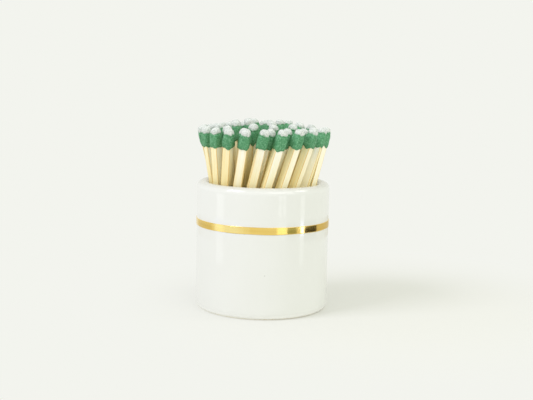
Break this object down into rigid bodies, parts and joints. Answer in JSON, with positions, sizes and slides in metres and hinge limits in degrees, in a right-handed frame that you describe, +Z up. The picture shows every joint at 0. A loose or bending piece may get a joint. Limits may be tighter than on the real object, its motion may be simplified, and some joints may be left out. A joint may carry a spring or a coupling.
{
  "type": "match striker",
  "caption": "Small glazed porcelain cup with a gold band, packed with wooden strike-anywhere matches that fan out over its rim; the flat unglazed base is the striking face.",
  "frame": {"origin": "middle of the cup's flat base, on the cup's axis", "axes": "+Z up along the cup's axis, -Y towards the viewer, +X to the viewer's right"},
  "size_m": [0.0382, 0.0385, 0.0542],
  "materials": {
    "glaze": "gloss, warm white, bisque on the base",
    "gold": "polished gold lustre",
    "splint_wood": "pale sawn aspen, matte",
    "green_head": "matte green match compound",
    "white_tip": "chalky white match compound"
  },
  "bodies": {
    "root": {"cup": "glaze", "gold_band": "gold", "splint_01": "splint_wood", "splint_02": "splint_wood", "splint_03": "splint_wood", "splint_04": "splint_wood", "splint_05": "splint_wood", "splint_06": "splint_wood", "splint_07": "splint_wood", "splint_08": "splint_wood", "splint_09": "splint_wood", "splint_10": "splint_wood", "splint_11": "splint_wood", "splint_12": "splint_wood", "splint_13": "splint_wood", "splint_14": "splint_wood", "splint_15": "splint_wood", "splint_16": "splint_wood", "splint_17": "splint_wood", "splint_18": "splint_wood", "splint_19": "splint_wood", "splint_20": "splint_wood", "splint_21": "splint_wood", "splint_22": "splint_wood", "splint_23": "splint_wood", "splint_24": "splint_wood", "splint_25": "splint_wood", "splint_26": "splint_wood", "splint_27": "splint_wood", "splint_28": "splint_wood", "splint_29": "splint_wood", "splint_30": "splint_wood", "splint_31": "splint_wood", "splint_32": "splint_wood", "splint_33": "splint_wood", "splint_34": "splint_wood", "splint_35": "splint_wood", "splint_36": "splint_wood", "splint_37": "splint_wood", "splint_38": "splint_wood", "splint_39": "splint_wood", "splint_40": "splint_wood", "splint_41": "splint_wood", "splint_42": "splint_wood", "splint_43": "splint_wood", "splint_44": "splint_wood", "splint_45": "splint_wood", "splint_46": "splint_wood", "splint_47": "splint_wood", "splint_48": "splint_wood", "splint_49": "splint_wood", "splint_50": "splint_wood", "splint_51": "splint_wood", "green_heads": "green_head", "white_tips": "white_tip"}
  },
  "joints": []
}
